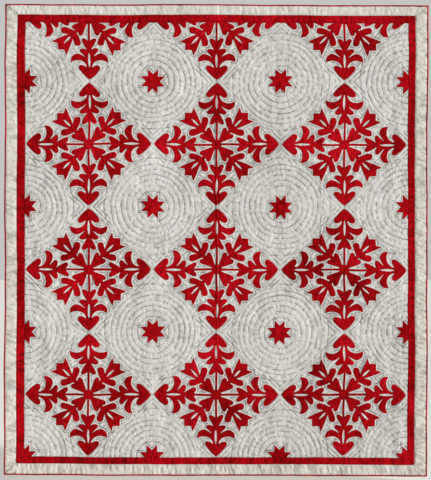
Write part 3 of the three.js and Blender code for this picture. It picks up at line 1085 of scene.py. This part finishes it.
@dataclass
class QuiltMaker:
    """Makes the quilt's cloth pieces and sets each on the quilt's body."""

    PATCH_PUCKERS: ClassVar[tuple[Wave, ...]] = (Wave(6, 0.8, 7.5, 11), Wave(7, 0.5, 17))
    TAPE_PUCKERS: ClassVar[tuple[Wave, ...]] = (Wave(2, 0.5, 12),)
    BACK_PUFFS: ClassVar[tuple[Wave, ...]] = (Wave(1, 0.7, 20, 30),)

    plan: QuiltPlan
    motif: Motif
    relief: Relief
    ground_step: float = 2.9
    applique_step: float = 2.7
    border_step: float = 3.4
    backing_step: float = 6.0
    red_lift: float = 1.1
    trimmed_lift: float = 0.3
    trim_width: float = 3.0
    edge_roll: float = 1.25  # how far the cut edge rolls down towards the ground, over the roll's width
    roll_width: float = 1.9
    under_border: float = 1.6  # how far a cut red shape runs on under the border
    tape_step: float = 6.0
    backing_inset: float = 1.2
    backing_half: float = 0.25
    batting_inset: float = 2.5
    batting_sunk: float = 1.9
    batting_raised: float = 0.9
    sleeve_bottom: float = -84.0

    def place(self, x: Array, z: Array, y: Array) -> Array:
        """Turn flat places and depths into points on the hung quilt."""
        swing = self.relief.drape(x, z)
        wx, wz = self.relief.warp(x, z)
        return np.stack([wx, y + swing, wz], 1)

    def finish(
        self, piece: bpy.types.Object, nodes: list[str], flat: tuple[float, float], area: float | None
    ) -> None:
        """Args:
            piece: the cloth.
            nodes: the CAD nodes that it stands for.
            flat: width and length of its cut, in millimetres; not used.
            area: its flat area in square millimetres, where the cut isn't a rectangle; not used.
        """
        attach(piece, "quilt")
        if nodes:
            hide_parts(*nodes)

    def block_region(self, cx: float, cz: float) -> tuple[Inside, Rect]:
        """The part of a block that the borders leave: its inside test and its box."""
        p = self.plan
        a, b = p.block_width / 2, p.block_height / 2
        diamond = convex([(cx + a, cz), (cx, cz + b), (cx - a, cz), (cx, cz - b)])
        trim = convex(p.field.corners())

        def inside(x: Array, z: Array) -> Array:
            """Distance to the nearer of the block's side and the border."""
            return np.minimum(diamond(x, z), trim(x, z))

        return inside, p.field.shared(Rect(cx - a, cz - b, cx + a, cz + b))

    def ground(self, name: str, cx: float, cz: float, nodes: list[str]) -> None:
        """Make one white ground block."""
        inside, box = self.block_region(cx, cz)
        x, z, triangles = lattice_patch(inside, box.grown(MARGIN), self.ground_step)
        rise, painted_shade = self.relief.field(x, z)
        piece = mesh_piece(name, self.place(x, z, self.plan.front - rise), triangles, GROUND, painted_shade)
        self.finish(piece, nodes, (box.width, box.height), flat_area(x, z, triangles))

    def patch(
        self, name: str, inside: Inside, box: Rect, flat: tuple[float, float], nodes: list[str]
    ) -> None:
        """Make one red patch, lifted off the ground by its own thickness, with its edge rolled under.

        Args:
            name: the piece's name.
            inside: signed distance to its cut edge.
            box: the rectangle that it lies in.
            flat: width and length of the cloth that it is cut from, in millimetres.
            nodes: the CAD nodes that it stands for.
        """
        x, z, triangles = lattice_patch(inside, box.grown(4 * MARGIN), self.applique_step)
        depth = np.clip(inside(x, z), 0, None)
        trim = 1 - np.exp(-((self.relief.border_distance(x, z) / self.trim_width) ** 2))
        lift = self.red_lift - self.edge_roll * np.exp(-((depth / self.roll_width) ** 2))
        lift = lift * trim + self.trimmed_lift * (1 - trim)
        pucker = self.relief.waves(x, z, self.PATCH_PUCKERS)
        rise, ground_shade = self.relief.field(x, z)
        rise = rise + lift + trim * np.clip(pucker, -0.6, None) * (1 - np.exp(-depth / 4))
        # Painted shade: darker along the rolled-under edge, in pucker troughs, and with the ground's painted
        # shade beneath.
        painted_shade = 0.8 * np.exp(-((depth / 2) ** 2)) + np.clip(-pucker - 0.2, 0, 1) + 0.6 * ground_shade
        piece = mesh_piece(name, self.place(x, z, self.plan.front - rise), triangles, TURKEY_RED, painted_shade)
        self.finish(piece, nodes, flat, flat_area(x, z, triangles))

    def motif_patch(self, name: str, cx: float, cz: float, nodes: list[str]) -> None:
        """Make the red applique of a flower block, cut from a square as wide as the block's side."""
        region, box = self.block_region(cx, cz)

        def inside(x: Array, z: Array) -> Array:
            """Inside the motif and clear of the border."""
            dx, dz = self.relief.loosened(x, z, x - cx, z - cz)
            return np.minimum(self.motif.distance(dx, dz), region(x, z) + self.under_border)

        side = math.hypot(self.plan.block_width, self.plan.block_height) / 2
        left = min(1.0, (self.plan.field.top - cz + self.plan.block_height / 2) / self.plan.block_height)
        self.patch(name, inside, box, (side, side * left), nodes)

    def star_patch(self, name: str, cx: float, cz: float, nodes: list[str]) -> None:
        """Make the red star of a star block, whole or as far as the border leaves it."""
        region, _ = self.block_region(cx, cz)
        tip = self.relief.star.tip

        def inside(x: Array, z: Array) -> Array:
            """Inside the star and clear of the border."""
            dx, dz = self.relief.loosened(x, z, x - cx, z - cz)
            return np.minimum(self.relief.star.distance(dx, dz), region(x, z) + self.under_border)

        box = self.plan.field.shared(Rect(cx - tip, cz - tip, cx + tip, cz + tip))
        self.patch(name, inside, box, (box.width, box.height), nodes)

    def field(self) -> None:
        """Make every block of the pieced field."""
        p = self.plan
        columns = round(p.field.width / p.block_width)
        rows = int(p.field.height // p.block_height)
        for column in range(columns):
            cx = p.field.left + (column + 0.5) * p.block_width
            for row in range(rows):
                cz = p.field.bottom + (rows - row - 0.5) * p.block_height
                place = f"r{row + 1}_c{column + 1}"
                self.ground(f"flower_ground_cloth_{place}", cx, cz, [f"flower_ground_{place}"])
                self.motif_patch(f"flower_applique_cloth_{place}", cx, cz, [f"flower_applique_{place}"])
            cz = p.field.bottom + (rows + 0.5) * p.block_height
            self.ground(f"top_flower_ground_cloth_c{column + 1}", cx, cz, [f"top_flower_block_c{column + 1}"])
            self.motif_patch(f"top_flower_applique_cloth_c{column + 1}", cx, cz, [])
        for line in range(columns + 1):
            cx = p.field.left + line * p.block_width
            side = "left" if line == 0 else "right"
            outer = line in (0, columns)
            for row in range(rows):
                cz = p.field.bottom + (rows - row) * p.block_height
                place = f"{side}_r{row + 1}" if outer else f"r{row + 1}_c{line}"
                ground_nodes = [f"side_star_block_{place}"] if outer else [f"star_ground_{place}"]
                patch_nodes = [] if outer else [f"star_patch_{place}"]
                self.ground(f"star_ground_cloth_{place}", cx, cz, ground_nodes)
                self.star_patch(f"star_patch_cloth_{place}", cx, cz, patch_nodes)
            node = f"corner_star_block_{side}" if outer else f"bottom_star_block_c{line}"
            place = f"corner_{side}" if outer else f"bottom_c{line}"
            self.ground(f"star_ground_cloth_{place}", cx, p.field.bottom, [node])
            self.star_patch(f"star_patch_cloth_{place}", cx, p.field.bottom, [])

    def border(self, colour: str, inner: Rect, outer: Rect, finish: Cotton) -> None:
        """Make the four mitred strips between two rectangles.

        Args:
            colour: the first word of the pieces' names.
            inner: the rectangle inside the strips.
            outer: the rectangle outside them.
            finish: the strips' cloth.
        """
        for side in Side:
            i, o = inner.corners(), outer.corners()
            first = {Side.BOTTOM: 0, Side.RIGHT: 1, Side.TOP: 2, Side.LEFT: 3}[side]
            second = (first + 1) % 4
            corners = [o[first], o[second], i[second], i[first]]
            xs, zs = [c[0] for c in corners], [c[1] for c in corners]
            box = Rect(min(xs), min(zs), max(xs), max(zs))
            x, z, triangles = lattice_patch(convex(corners), box.grown(MARGIN), self.border_step)
            rise, painted_shade = self.relief.border(x, z, inner, outer, finish is BORDER_RED)
            points = self.place(x, z, self.plan.front - rise)
            piece = mesh_piece(f"{colour}_border_cloth_{side.value}", points, triangles, finish, painted_shade)
            flat = (min(box.width, box.height), max(box.width, box.height))
            self.finish(piece, [f"{colour}_border_{side.value}"], flat, flat_area(x, z, triangles))

    def binding(self) -> None:
        """Fold the red tape over the quilt's edge: a U section carried round the outline, mitred."""
        p = self.plan
        wide = p.white.left - p.edge.left
        # Distance in from the edge, and how far in front of the top cloth, from the front seam round
        # the fold to the back seam.
        front_face = [[wide + 1.4, -2.6], [wide + 1.0, 0.4], [wide + 0.2, 1.6], [wide / 2, 2.4]]
        fold = [[0.6, 1.9], [-0.7, 0.5], [-1.1, -1.6], [-0.7, -3.4], [1.0, -4.6]]
        back_face = [[wide / 2, -5.1], [wide - 0.6, -4.9], [wide, -3.9]]
        section = np.array(front_face + fold + back_face)
        inset, out = section[None, :, 0], section[None, :, 1]
        inward = [(1, 1), (-1, 1), (-1, -1), (1, -1)]
        corners = [(cx + sx * inset, cz + sz * inset) for (cx, cz), (sx, sz) in zip(p.edge.corners(), inward)]
        rings = []
        for side, (start, end) in enumerate(zip(corners, corners[1:] + corners[:1])):
            length = p.edge.width if side % 2 == 0 else p.edge.height
            share = np.linspace(0, 1, int(length / self.tape_step), endpoint=False)[:, None]
            x, z = (a * (1 - share) + b * share for a, b in zip(start, end))
            rings.append(np.stack([x, z, np.broadcast_to(out, x.shape)], 2))
        grid = np.concatenate(rings)
        x, z, out = grid[..., 0].ravel(), grid[..., 1].ravel(), grid[..., 2].ravel()
        crinkle = self.relief.crinkle(x, z) + self.relief.waves(x, z, self.TAPE_PUCKERS)
        points = self.place(x, z, p.front + 1.0 - out - crinkle)
        triangles = grid_triangles(grid.shape[0], grid.shape[1], wrap=True)
        piece = mesh_piece("binding_tape", points, triangles, BINDING_RED)
        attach(piece, "quilt")
        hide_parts("binding")

    def back_height(self, x: Array, z: Array) -> tuple[Array, Array]:
        """Height and painted shade of the backing: the same quilting, seen from behind, but flatter."""
        line, pucker, seam = self.relief.field_lines(x, z)
        puff = 1.7 * (1 - np.exp(-((line / 5) ** 1.5))) + 0.6 * np.exp(-line / 9) * pucker
        f = self.plan.field
        beyond = np.maximum.reduce([f.left - x, x - f.right, f.bottom - z, z - f.top])
        puff = np.where(beyond > 0, 0.9 + self.relief.waves(x, z, self.BACK_PUFFS), puff)
        sewn = np.clip((self.sleeve_bottom - 12 - z) / 40, 0, 1)
        height = sewn * np.clip(0.9 * puff + 0.7 * self.relief.crinkle(x, z), -0.3, None)
        # Painted shade along the quilting lines, none beyond the field.
        painted_shade = np.where(beyond > 0, 0, 0.42 * np.exp(-((line / 4.4) ** 2)))
        return height, painted_shade

    def backing(self, panels: int = 3) -> None:
        """Make the backing as seamed panels, one node's worth of cloth."""
        rect = self.plan.edge.grown(-self.backing_inset)
        width = rect.width / panels
        for number in range(panels):
            left = rect.left + number * width
            panel = Rect(left, rect.bottom, left + width, rect.top)
            region = convex(panel.corners())
            x, z, triangles = lattice_patch(region, panel.grown(MARGIN), self.backing_step)
            seam = np.minimum(np.abs(x - panel.left), np.abs(x - panel.right))
            dip = np.exp(-((seam / 4) ** 2))
            height, painted_shade = self.back_height(x, z)
            points = self.place(x, z, self.plan.back - self.backing_half + (1 - dip) * height)
            name = f"backing_panel_{number + 1}"
            # Painted shade: darker along the quilting lines and in the panel seams' dips.
            piece = mesh_piece(name, points, triangles[:, ::-1], BACKING, np.maximum(painted_shade, 0.5 * dip))
            nodes = ["backing"] if number == 0 else []
            self.finish(piece, nodes, (width, rect.height), None)

    def batting(self, step: float = 13.0) -> None:
        """Make the batting: a closed pad that stays between the two cloths."""
        rect = self.plan.edge.grown(-self.batting_inset)
        across = np.linspace(rect.left, rect.right, int(rect.width / step))
        up = np.linspace(rect.bottom, rect.top, int(rect.height / step))
        x, z = (g.ravel() for g in np.meshgrid(across, up))
        front = self.place(x, z, np.full(x.shape, self.plan.front + self.batting_sunk))
        back = self.place(x, z, np.full(x.shape, self.plan.back - self.batting_raised))
        face = grid_triangles(up.size, across.size)
        index = np.arange(x.size).reshape(up.size, across.size)
        rim = np.concatenate([index[0, :-1], index[:-1, -1], index[-1, :0:-1], index[:0:-1, 0]])
        after = np.roll(rim, -1)
        front_half = np.stack([rim, after + x.size, after], 1)
        back_half = np.stack([rim, rim + x.size, after + x.size], 1)
        triangles = np.concatenate([face, face[:, ::-1] + x.size, front_half, back_half])
        piece = mesh_piece("batting_pad", np.concatenate([front, back]), triangles, BATTING)
        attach(piece, "quilt")
        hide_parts("batting")

    def make(self) -> None:
        """Make every layer, front to back."""
        self.field()
        p = self.plan
        self.border("red", p.field, p.red, BORDER_RED)
        self.border("white", p.red, p.white.grown(2), BORDER_WHITE)
        self.binding()
        self.batting()
        self.backing()


def flat_area(x: Array, z: Array, triangles: Array) -> float:
    """Area of a flat lattice in square millimetres."""
    ax, az = x[triangles[:, 0]], z[triangles[:, 0]]
    bx, bz = x[triangles[:, 1]] - ax, z[triangles[:, 1]] - az
    cx, cz = x[triangles[:, 2]] - ax, z[triangles[:, 2]] - az
    return float(np.abs(bx * cz - bz * cx).sum() / 2)


# ---------------------------------------------------------------- the rack


@dataclass
class Sleeve:
    """The hanging sleeve: a tube of backing cloth round the rod, sewn flat to the quilt's back."""

    noise: Noise
    cloth: float = 1.0
    seam_lift: float = 4.0
    hem: float = 14.0
    hem_rise: float = 0.7  # the turned hem lies double
    least_slack: float = 0.25
    arc_points: int = 26
    straight_points: int = 24
    step: float = 7.0

    def make(self) -> None:
        """Carry the loop's outline along X: flat front, round over the rod, straight to the lower seam."""
        low, high = node_box("hanging_sleeve")
        rod_low, rod_high = node_box("rod")
        centre_y = (rod_low[1] + rod_high[1]) / 2
        radius = (high[1] - low[1]) / 2 - self.cloth / 2
        drop = -low[2]
        seam = np.array([-radius, -drop + self.seam_lift / 2])
        reach = math.hypot(*seam)
        tangent = math.atan2(seam[1], seam[0]) + math.acos(radius / reach)
        arc = np.linspace(math.pi, tangent, self.arc_points)
        straight = np.linspace(0, 1, self.straight_points)[:, None]
        front = np.array([-radius, 0.0]) * straight + seam * (1 - straight)
        round_rod = np.stack([radius * np.cos(arc), radius * np.sin(arc)], 1)
        back = round_rod[-1] * (1 - straight) + seam * straight
        outline = np.concatenate([front[:-1], round_rod, back[1:-1]])
        ahead = np.roll(outline, -1, 0) - np.roll(outline, 1, 0)
        normal = np.stack([-ahead[:, 1], ahead[:, 0]], 1) / np.hypot(ahead[:, 0], ahead[:, 1])[:, None]
        along = np.linspace(low[0], high[0], int((high[0] - low[0]) / self.step))
        girth = np.cumsum(np.hypot(*np.diff(outline, axis=0, prepend=outline[:1]).T))
        xs, ss = np.meshgrid(along, girth, indexing="ij")
        free = np.clip((outline[:, 0] + radius) / radius, 0, 1)[None, :]
        wrinkle = 1.1 * self.noise(xs, ss, 34, 120, 0.1) + 0.5 * self.noise(xs, ss, 12, 50, -0.1)
        end = np.minimum(xs - low[0], high[0] - xs)
        doubled = self.hem_rise * (end < self.hem)
        out = free * (self.least_slack + np.clip(wrinkle + 0.6, 0, 2.2) + doubled)
        y = centre_y + outline[None, :, 0] + out * normal[None, :, 0]
        z = outline[None, :, 1] + out * normal[None, :, 1]
        points = np.stack([xs, y, z], 2)
        points = np.concatenate([points, points[:, :1]], 1)
        grid = points.reshape(-1, 3)
        triangles = grid_triangles(along.size, points.shape[1])
        piece = mesh_piece("hanging_sleeve_cloth", grid, triangles, BACKING)
        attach(piece, "quilt")
        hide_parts("hanging_sleeve")


@dataclass
class Rack:
    """The wooden parts: rod, brackets and backboard."""

    sides: int = 72
    chamfer: float = 1.5
    edge_round: float = 1.2
    end_gap: float = 1.0  # between a bracket and the rod's shoulder
    tenon_share: float = 8 / 14  # the tenon's radius as a share of the rod's

    def rod(self) -> None:
        """Turn the rod: a profile of radius along X carried round its axis."""
        low, high = node_box("rod")
        bracket_low, _ = node_box("bracket_right")
        radius = (high[1] - low[1]) / 2
        centre_y = (high[1] + low[1]) / 2
        shoulder = bracket_low[0] - self.end_gap
        tenon = radius * self.tenon_share
        c = self.chamfer
        end = high[0]
        half = [(0.0, end), (tenon - c, end), (tenon, end - c), (tenon, shoulder)]
        half += [(radius - c, shoulder), (radius, shoulder - c)]
        profile = np.array([(r, -h) for r, h in half] + [(r, h) for r, h in reversed(half)])
        turn = np.linspace(0, 2 * math.pi, self.sides, endpoint=False)[:, None]
        x = np.broadcast_to(profile[None, :, 1], (self.sides, len(profile)))
        y = centre_y + profile[None, :, 0] * np.cos(turn)
        z = profile[None, :, 0] * np.sin(turn)
        points = np.stack([x, y, z], 2).reshape(-1, 3)
        triangles = grid_triangles(self.sides, len(profile), wrap=True)
        piece = mesh_piece("rod_turned", points, triangles, BEECH)
        merge(piece)
        sharpen(piece)
        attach(piece, "rod")
        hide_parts("rod")

    def carved(self, node: str) -> None:
        """Copy a CAD solid, merge its triangles and round its edges."""
        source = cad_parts[node]
        piece = bpy.data.objects.new(f"{node}_planed", source.data.copy())
        bpy.context.scene.collection.objects.link(piece)
        merge(piece)
        for face in piece.data.polygons:
            face.use_smooth = True
        bevel = piece.modifiers.new("rounded edges", "BEVEL")
        bevel.width = self.edge_round * MM
        bevel.segments = 3
        bevel.limit_method = "ANGLE"
        bevel.angle_limit = math.radians(50)
        bevel.harden_normals = True
        dress(piece, WALNUT)
        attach(piece, "rack")
        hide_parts(node)
        LOG.info("%s planed", node)

    def make(self) -> None:
        """Make the rod and dress the boards."""
        self.rod()
        for node in ("backboard", "bracket_left", "bracket_right"):
            self.carved(node)


MERGED_MM = 0.01


def merge(piece: bpy.types.Object) -> None:
    """Merge a mesh's doubled points, join its flat faces and turn them outwards."""
    made = bmesh.new()
    made.from_mesh(piece.data)
    bmesh.ops.remove_doubles(made, verts=made.verts, dist=MERGED_MM * MM)
    bmesh.ops.dissolve_limit(made, angle_limit=math.radians(1), verts=made.verts, edges=made.edges)
    bmesh.ops.recalc_face_normals(made, faces=made.faces)
    made.to_mesh(piece.data)
    made.free()


def sharpen(piece: bpy.types.Object, degrees: float = 40.0) -> None:
    """Mark edges that turn by more than an angle as sharp, so that shading breaks there."""
    piece.data.set_sharp_from_angle(angle=math.radians(degrees))


# ---------------------------------------------------------------- stage


@dataclass
class Studio:
    """A pale floor, a soft key that rakes from the side, another from behind, and a square camera."""

    distance: float = 6.0
    view_height: float = 2299.2  # how much of the quilt's plane the picture's height takes in
    centre_x: float = -2.6
    centre_z: float = -1077.0
    key_strength: float = 3.17
    back_strength: float = 2.0
    sky_front: float = 0.17
    sky_behind: float = 0.62
    floor_half: float = 30000.0
    floor_gap: float = 30.0  # the quilt hangs just clear of the floor

    def light(self, name: str, strength: float, towards: tuple[float, float, float], softness: float) -> None:
        """Add a far light that shines along a direction."""
        data = bpy.data.lights.new(name, "SUN")
        data.energy = strength
        data.angle = math.radians(softness)
        lamp = bpy.data.objects.new(name, data)
        lamp.rotation_euler = Vector(towards).to_track_quat("-Z", "Y").to_euler()
        bpy.context.scene.collection.objects.link(lamp)

    def make(self) -> None:
        """Set up camera, lights, floor and world."""
        low = CAD_BOX[0]
        data = bpy.data.cameras.new("camera")
        data.lens = data.sensor_width * self.distance / (self.view_height * MM)
        camera = bpy.data.objects.new("camera", data)
        camera.location = (self.centre_x * MM, low[1] - self.distance, self.centre_z * MM)
        camera.rotation_euler = (math.pi / 2, 0, 0)
        bpy.context.scene.collection.objects.link(camera)
        bpy.context.scene.camera = camera

        self.light("key", self.key_strength, (-0.86, 0.40, -0.30), 6)
        self.light("back_rake", self.back_strength, (0.80, -0.36, -0.40), 12)

        half, height = self.floor_half, low[2] / MM - self.floor_gap
        corners = Rect(-half, -half, half, half).corners()
        points = np.array([(x, y, height) for x, y in corners])
        floor = mesh_piece("floor", points, np.array([[0, 1, 2], [0, 2, 3]]), BATTING)
        paper = bpy.data.materials.new("pale_studio_paper")
        paper.use_nodes = True
        shader = paper.node_tree.nodes["Principled BSDF"]
        shader.inputs["Base Color"].default_value = linear("#e6e4e0")
        shader.inputs["Roughness"].default_value = 0.8
        floor.data.materials.clear()
        floor.data.materials.append(paper)

        world = bpy.data.worlds.new("studio")
        world.use_nodes = True
        background = world.node_tree.nodes["Background"]
        background.inputs["Color"].default_value = linear("#f4f3f1")
        # The studio is brighter behind the quilt than in front of it, so the key can rake.
        around = add_node(world.node_tree, "ShaderNodeTexCoord").outputs["Generated"]
        depth = add_node(world.node_tree, "ShaderNodeSeparateXYZ", {0: around}).outputs["Y"]
        glow = add_node(
            world.node_tree,
            "ShaderNodeMapRange",
            {
                "Value": depth,
                "From Min": -1.0,
                "From Max": 1.0,
                "To Min": self.sky_front,
                "To Max": self.sky_behind,
            },
        ).outputs["Result"]
        world.node_tree.links.new(glow, background.inputs["Strength"])
        bpy.context.scene.world = world
        bpy.context.scene.view_settings.view_transform = "Standard"


def main() -> None:
    """Build the stage, the quilt and the rack."""
    logging.basicConfig(level=logging.INFO, format="%(name)s: %(message)s")
    Studio().make()
    plan = QuiltPlan.from_frame()
    motif = Motif(plan)
    sleeve_bottom = float(node_box("hanging_sleeve")[0][2])
    relief = Relief(plan, motif, Drape(plan.edge, sleeve_bottom))
    QuiltMaker(plan, motif, relief, sleeve_bottom=sleeve_bottom).make()
    Sleeve(relief.noise[3]).make()
    Rack().make()


if __name__ == "__main__":
    main()
